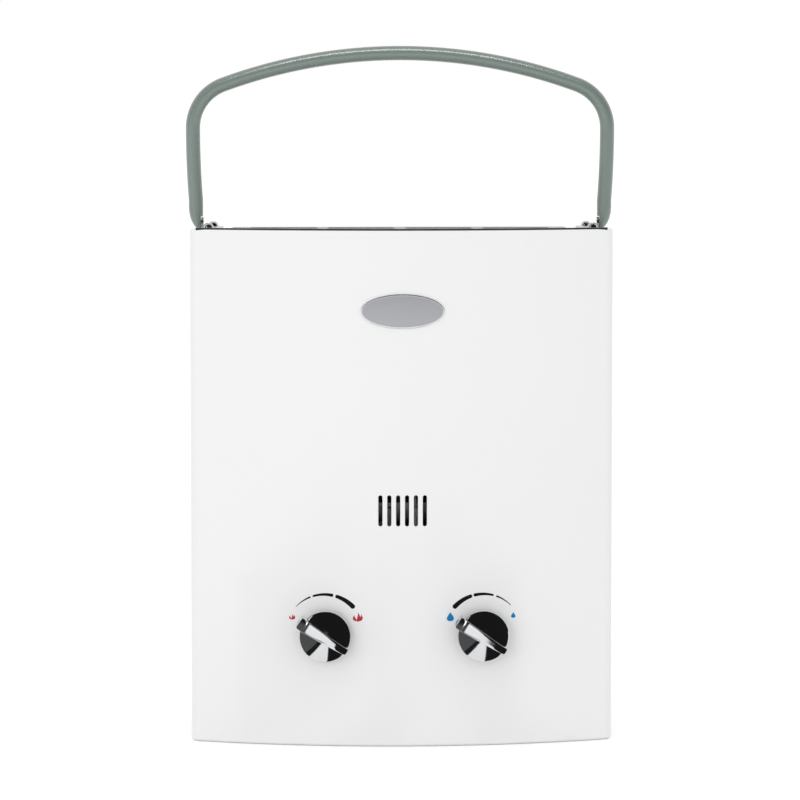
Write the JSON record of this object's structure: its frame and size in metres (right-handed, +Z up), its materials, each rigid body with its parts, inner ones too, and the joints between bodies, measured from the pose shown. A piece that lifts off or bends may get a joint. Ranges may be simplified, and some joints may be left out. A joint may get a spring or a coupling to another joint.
{
  "type": "portable water heater",
  "caption": "Portable propane water heater: bowed white sheet-metal casing, two chrome valve knobs, carrying bail, burner, finned heat exchanger and linked valves inside.",
  "frame": {"origin": "on the standing surface, under the middle of the whole heater's box", "axes": "+X to the right as seen from the front, -Y out of the front towards the user, +Z up"},
  "size_m": [0.2978, 0.1412, 0.478],
  "materials": {
    "casing_white": "smooth white powder coat, half gloss",
    "plate_grey": "galvanised sheet with a thin grey coat",
    "badge_metal": "satin silver plate with a brighter rim",
    "screw_steel": "zinc plated steel",
    "flue_steel": "brushed stainless sheet",
    "bail_paint": "satin grey-green coat",
    "bracket_zinc": "zinc plated sheet",
    "knob_chrome": "bright chrome on moulded plastic",
    "brass_parts": "turned and cast brass",
    "copper": "bare copper",
    "cast_alloy": "die-cast alloy",
    "ceramic": "glazed white ceramic",
    "black_plastic": "moulded black plastic",
    "lead_red": "red silicone insulation",
    "black_rubber": "black rubber",
    "battery_case": "plain blue metal jacket"
  },
  "bodies": {
    "casing": {"front_cover": "casing_white", "back_plate": "plate_grey", "top_plate": "casing_white", "bottom_plate": "plate_grey", "badge_plate": "badge_metal", "cover_screws": "screw_steel", "flue_cap": "flue_steel", "left_bracket": "bracket_zinc", "right_bracket": "bracket_zinc", "bail_pivots": "screw_steel", "bracket_screws": "screw_steel", "flue_collector": "flue_steel", "heat_fins": "copper", "combustion_chamber": "copper", "water_tube": "copper", "exchanger_straps": "bracket_zinc", "burner_blades": "flue_steel", "burner_frame": "flue_steel", "gas_manifold": "cast_alloy", "burner_jets": "brass_parts", "gas_riser": "cast_alloy", "spark_electrode": "ceramic", "flame_probe": "ceramic", "igniter_box": "black_plastic", "ignition_leads": "lead_red", "gas_valve": "cast_alloy", "solenoid": "black_plastic", "water_valve": "brass_parts", "diaphragm": "black_rubber", "diaphragm_cover": "brass_parts", "diaphragm_screws": "screw_steel", "microswitch": "black_plastic", "gas_inlet": "brass_parts", "water_inlet": "brass_parts", "water_outlet": "brass_parts", "drain_plug": "brass_parts", "drain_seal": "black_rubber", "battery_box": "black_plastic", "batteries": "battery_case", "battery_contacts": "screw_steel", "lid_hinge": "screw_steel"},
    "bail": {"bail": "bail_paint"},
    "gas_knob": {"gas_knob": "knob_chrome", "gas_stem": "brass_parts"},
    "water_knob": {"water_knob": "knob_chrome", "water_stem": "brass_parts"},
    "push_rod": {"push_rod": "screw_steel"},
    "switch_lever": {"switch_lever": "screw_steel"},
    "battery_lid": {"battery_lid": "black_plastic"}
  },
  "joints": [
    {"name": "bail_swing", "type": "hinge", "parent": "casing", "child": "bail", "pos_m": [0, 0.02202, 0.3548], "axis": [1, 0, 0], "range_deg": [-80, 80]},
    {"name": "gas_knob_turn", "type": "hinge", "parent": "casing", "child": "gas_knob", "pos_m": [-0.053, -0.04833, 0.077], "axis": [0, 1, 0], "range_deg": [0, 115]},
    {"name": "water_knob_turn", "type": "hinge", "parent": "casing", "child": "water_knob", "pos_m": [0.055, -0.04833, 0.077], "axis": [0, 1, 0], "range_deg": [0, 115]},
    {"name": "push_rod_slide", "type": "slide", "parent": "casing", "child": "push_rod", "axis": [-1, 0, 0], "range_m": [0, 0.003], "stiffness_N_per_m": 400, "springref_m": -0.002},
    {"name": "switch_lever_swing", "type": "hinge", "parent": "casing", "child": "switch_lever", "pos_m": [-0.00955, -0.00898, 0.095], "axis": [0, 1, 0], "range_deg": [0, 16]},
    {"name": "battery_lid_swing", "type": "hinge", "parent": "casing", "child": "battery_lid", "pos_m": [0, 0.06212, 0.0392], "axis": [1, 0, 0], "range_deg": [0, 90]}
  ],
  "couplings": [
    {"joint": "switch_lever_swing", "follows": "push_rod_slide", "rad_per_m": 90}
  ]
}
